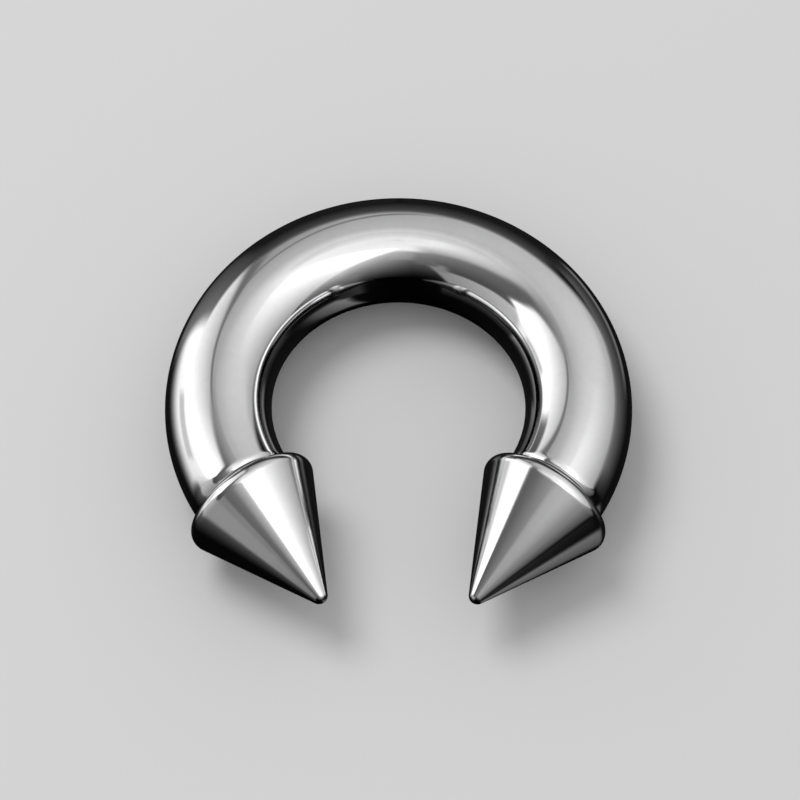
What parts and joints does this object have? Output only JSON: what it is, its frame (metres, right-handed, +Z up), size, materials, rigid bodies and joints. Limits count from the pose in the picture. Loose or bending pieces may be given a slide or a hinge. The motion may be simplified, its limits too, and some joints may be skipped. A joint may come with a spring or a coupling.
{
  "type": "horseshoe barbell with cone spikes",
  "caption": "Heavy horseshoe barbell: a round bar bent to an open ring with a screw-on cone spike at each end, lying on its back and its spikes' rims.",
  "frame": {"origin": "on the table, under the middle of the part's box as it lies at rest", "axes": "+X to the right across the ring, +Y from the spikes towards the ring's back, +Z up"},
  "size_m": [0.035, 0.0338, 0.0104],
  "materials": {
    "bar_steel": "mirror-polished surgical steel with faint polishing haze",
    "spike_steel": "mirror-polished surgical steel with faint turning marks round the axis",
    "post_steel": "cut thread, satin"
  },
  "bodies": {
    "bar": {"bar": "bar_steel"},
    "left_post": {"left_post": "post_steel"},
    "left_spike": {"left_spike": "spike_steel"},
    "right_post": {"right_post": "post_steel"},
    "right_spike": {"right_spike": "spike_steel"}
  },
  "joints": [
    {"name": "left_travel", "type": "slide", "parent": "bar", "child": "left_post", "axis": [0.5519, -0.8326, 0.046], "range_m": [0, 0.0049]},
    {"name": "left_turn", "type": "hinge", "parent": "left_post", "child": "left_spike", "pos_m": [-0.01126, -0.00801, 0.00516], "axis": [0.5519, -0.8326, 0.046], "range_deg": [0, 2520]},
    {"name": "right_travel", "type": "slide", "parent": "bar", "child": "right_post", "axis": [-0.5519, -0.8326, 0.046], "range_m": [0, 0.0049]},
    {"name": "right_turn", "type": "hinge", "parent": "right_post", "child": "right_spike", "pos_m": [0.01126, -0.00801, 0.00516], "axis": [-0.5519, -0.8326, 0.046], "range_deg": [0, 2520]}
  ],
  "couplings": [
    {"joint": "left_turn", "follows": "left_travel", "rad_per_m": 8976},
    {"joint": "right_turn", "follows": "right_travel", "rad_per_m": 8976}
  ]
}
